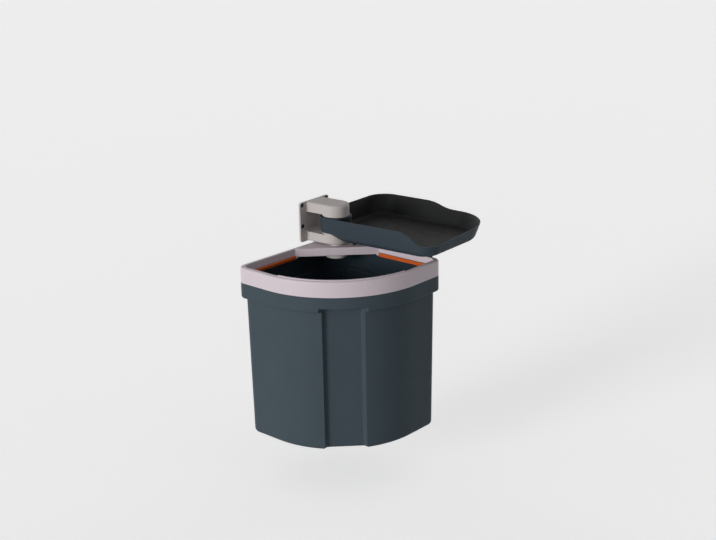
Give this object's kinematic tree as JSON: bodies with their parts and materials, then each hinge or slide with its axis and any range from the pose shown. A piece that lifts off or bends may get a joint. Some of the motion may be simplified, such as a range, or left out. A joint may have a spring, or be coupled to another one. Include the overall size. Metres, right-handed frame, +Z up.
{
  "type": "built-in waste bin",
  "caption": "Swing-out waste bin for a kitchen cabinet: wall bracket with jaws, bow-fronted bucket in a ring frame with bag bars, and a tray lid that stays inside.",
  "frame": {"origin": "centre of the bracket's screw pattern on the face that meets the cabinet's side wall", "axes": "+X away from the side wall, +Y towards the back of the cabinet, +Z up; the bin stands swung out"},
  "size_m": [0.3504, 0.4828, 0.4743],
  "materials": {
    "bracket_casting": "satin",
    "steel": "turned",
    "hub_casting": "satin",
    "lid_plastic": "fine grain",
    "frame_plastic": "fine grain",
    "bar_plastic": "satin",
    "bucket_plastic": "fine grain",
    "bearing_plastic": "satin",
    "rubber": "matt"
  },
  "bodies": {
    "bracket": {"wall_bracket": "bracket_casting", "axle": "steel", "axle_lock_screw": "steel", "swing_stop_pin": "steel", "retaining_washer": "steel", "retaining_screw": "steel", "thrust_washer": "steel"},
    "lid": {"lid_tray": "lid_plastic", "lid_bush_upper": "bearing_plastic", "lid_bush_lower": "bearing_plastic", "lid_buffers": "rubber"},
    "frame": {"swing_frame": "frame_plastic", "hub_housing": "hub_casting", "hub_screws": "steel", "hub_bush_upper": "bearing_plastic", "hub_bush_lower": "bearing_plastic", "hub_cap": "bearing_plastic", "bag_bar_pins": "steel"},
    "bucket": {"bucket": "bucket_plastic"},
    "bar_left": {"bag_bar_left": "bar_plastic"},
    "bar_right": {"bag_bar_right": "bar_plastic"}
  },
  "joints": [
    {"name": "bin_swing", "type": "hinge", "parent": "bracket", "child": "frame", "pos_m": [0.065, 0, -0.06], "axis": [0, 0, 1], "range_deg": [0, 94]},
    {"name": "lid_swing", "type": "hinge", "parent": "bracket", "child": "lid", "pos_m": [0.065, 0, -0.015], "axis": [0, 0, 1], "range_deg": [-90, 0]},
    {"name": "bucket_drop", "type": "slide", "parent": "frame", "child": "bucket", "axis": [0, 0, 1], "range_m": [-0.1, 0]},
    {"name": "bar_left_flip", "type": "hinge", "parent": "frame", "child": "bar_left", "pos_m": [0.01968, -0.08905, -0.0805], "axis": [-0.0698, -0.9976, 0], "range_deg": [0, 80]},
    {"name": "bar_right_flip", "type": "hinge", "parent": "frame", "child": "bar_right", "pos_m": [0.1595, 0.03249, -0.0805], "axis": [-0.9976, 0.0698, 0], "range_deg": [0, 80]}
  ]
}
